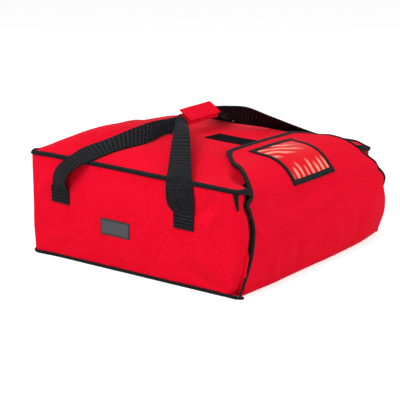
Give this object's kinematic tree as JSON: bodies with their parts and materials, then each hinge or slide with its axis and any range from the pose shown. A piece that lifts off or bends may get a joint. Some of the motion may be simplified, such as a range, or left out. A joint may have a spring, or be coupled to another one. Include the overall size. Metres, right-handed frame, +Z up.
{
  "type": "pizza delivery bag",
  "caption": "Flat square insulated food delivery bag with a rounded front flap, a clear card pocket and webbing straps that meet in a wrapped grip over the lid.",
  "frame": {"origin": "middle of the bag's bounding box, at the floor", "axes": "+X to the right seen from the flap's side, along the widest side; +Y towards the back; +Z up"},
  "size_m": [0.527, 0.4896, 0.2618],
  "materials": {
    "red_cloth": "woven nylon",
    "black_tape": "ribbed binding tape",
    "black_webbing": "woven webbing",
    "grey_lining": "coated cloth",
    "white_foam": "soft foam",
    "black_strip": "hook and loop",
    "clear_film": "clear film",
    "dark_label": "sewn patch"
  },
  "bodies": {
    "shell": {"base_outer": "red_cloth", "base_foam": "white_foam", "base_lining": "grey_lining", "left_outer": "red_cloth", "left_foam": "white_foam", "left_lining": "grey_lining", "right_outer": "red_cloth", "right_foam": "white_foam", "right_lining": "grey_lining", "back_outer": "red_cloth", "back_foam": "white_foam", "back_lining": "grey_lining", "top_outer": "red_cloth", "top_foam": "white_foam", "top_lining": "grey_lining", "seam_top_left": "black_tape", "seam_top_right": "black_tape", "seam_top_back": "black_tape", "seam_bottom_left": "black_tape", "seam_bottom_right": "black_tape", "seam_bottom_back": "black_tape", "mouth_binding": "black_tape", "mouth_facing_left": "red_cloth", "mouth_facing_right": "red_cloth", "label_patch": "dark_label", "strap_patch_front_left": "black_webbing", "strap_patch_back_left": "black_webbing", "strap_patch_front_right": "black_webbing", "strap_patch_back_right": "black_webbing", "seam_tail_left": "black_tape", "seam_tail_right": "black_tape", "loop_strip": "black_strip", "strap_front_left": "black_webbing", "strap_back_left": "black_webbing", "strap_front_right": "black_webbing", "strap_back_right": "black_webbing"},
    "flap_front": {"flap_front_outer": "red_cloth", "flap_front_foam": "white_foam", "flap_front_lining": "grey_lining", "flap_front_binding_left": "black_tape", "flap_front_binding_right": "black_tape", "pocket_window_front": "clear_film", "pocket_frame_front": "black_tape"},
    "flap_top": {"flap_top_outer": "red_cloth", "flap_top_lining": "grey_lining", "flap_top_binding": "black_tape", "flap_hook_strip": "black_strip", "pocket_window_top": "clear_film", "pocket_frame_top": "black_tape"},
    "grip": {"grip_wrap": "red_cloth", "grip_loop_strip": "black_strip", "strap_front_middle": "black_webbing", "strap_back_middle": "black_webbing"},
    "grip_flap": {"grip_flap": "red_cloth", "grip_hook_strip": "black_strip"}
  },
  "joints": [
    {"name": "flap_front_fold", "type": "hinge", "parent": "shell", "child": "flap_front", "pos_m": [0, -0.2338, 0], "axis": [1, 0, 0], "range_deg": [0, 75]},
    {"name": "flap_top_fold", "type": "hinge", "parent": "flap_front", "child": "flap_top", "pos_m": [0, -0.20108, 0.18988], "axis": [1, 0, 0], "range_deg": [0, 100]},
    {"name": "grip_lift", "type": "slide", "parent": "shell", "child": "grip", "axis": [0, 0, 1], "range_m": [0, 0.07], "deforming": ["strap_front_left", "strap_back_left", "strap_front_right", "strap_back_right"]},
    {"name": "grip_flap_fold", "type": "hinge", "parent": "grip", "child": "grip_flap", "pos_m": [0.0135, 0.02804, 0.24196], "axis": [1, 0, 0], "range_deg": [0, 150]}
  ]
}
